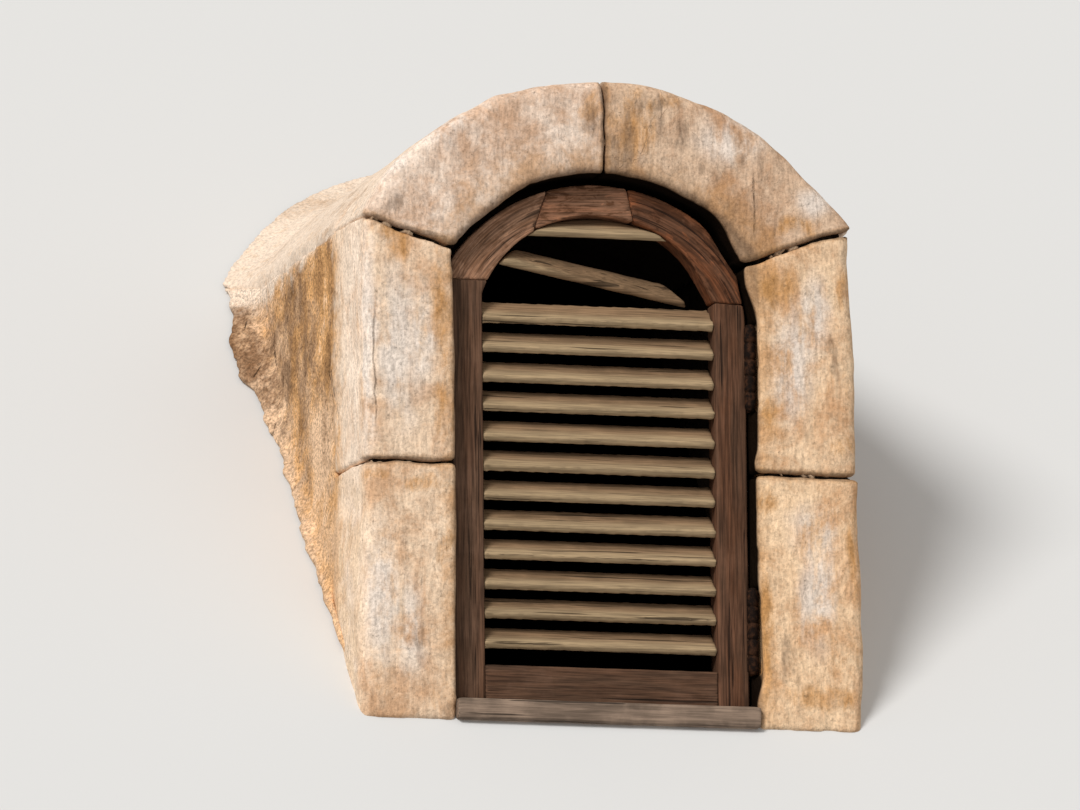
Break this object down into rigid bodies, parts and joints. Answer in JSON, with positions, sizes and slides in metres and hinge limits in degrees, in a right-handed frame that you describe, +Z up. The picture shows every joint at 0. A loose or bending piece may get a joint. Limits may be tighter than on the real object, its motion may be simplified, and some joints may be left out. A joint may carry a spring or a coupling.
{
  "type": "louvred dormer window",
  "caption": "Small wedge-shaped roof dormer: dressed stone jambs and arch, plastered cheeks and vault, and a weathered wooden louvred leaf with one slat slipped and one missing.",
  "frame": {"origin": "middle of the front bottom edge of the stone frame, on its level bed", "axes": "+X to the right seen from the front, +Y back into the roof, +Z up"},
  "size_m": [0.514, 0.5618, 0.6173],
  "materials": {
    "dressed_stone": "weathered, with ochre stains",
    "joint_mortar": "dark, crumbled",
    "ochre_plaster": "rough, streaked",
    "pale_plaster": "rough",
    "frame_wood": "weathered, dark",
    "head_wood": "weathered, reddish",
    "slat_wood": "weathered, silvered",
    "sill_wood": "weathered, grey",
    "rusted_iron": "rusted, dark"
  },
  "bodies": {
    "root": {"jamb_left_lower": "dressed_stone", "jamb_left_upper": "dressed_stone", "jamb_right_lower": "dressed_stone", "jamb_right_upper": "dressed_stone", "arch_stone_left": "dressed_stone", "arch_stone_right": "dressed_stone", "bed_joint_left": "joint_mortar", "bed_joint_right": "joint_mortar", "springer_joint_left": "joint_mortar", "springer_joint_right": "joint_mortar", "crown_joint": "joint_mortar", "cheek_left": "ochre_plaster", "cheek_right": "ochre_plaster", "vault": "pale_plaster", "fillet_left": "ochre_plaster", "fillet_right": "ochre_plaster", "fillet_crown": "pale_plaster", "sill_board": "sill_wood", "stile_left": "frame_wood", "stile_right": "frame_wood", "bottom_rail": "frame_wood", "head_left": "frame_wood", "head_crown": "head_wood", "head_right": "head_wood", "slat_01": "slat_wood", "slat_02": "slat_wood", "slat_03": "slat_wood", "slat_04": "slat_wood", "slat_05": "slat_wood", "slat_06": "slat_wood", "slat_07": "slat_wood", "slat_08": "slat_wood", "slat_09": "slat_wood", "slat_10": "slat_wood", "slat_11": "slat_wood", "slat_12": "slat_wood", "slat_slipped": "slat_wood", "slat_top": "slat_wood", "hinge_lower": "rusted_iron", "hinge_upper": "rusted_iron"}
  },
  "joints": []
}
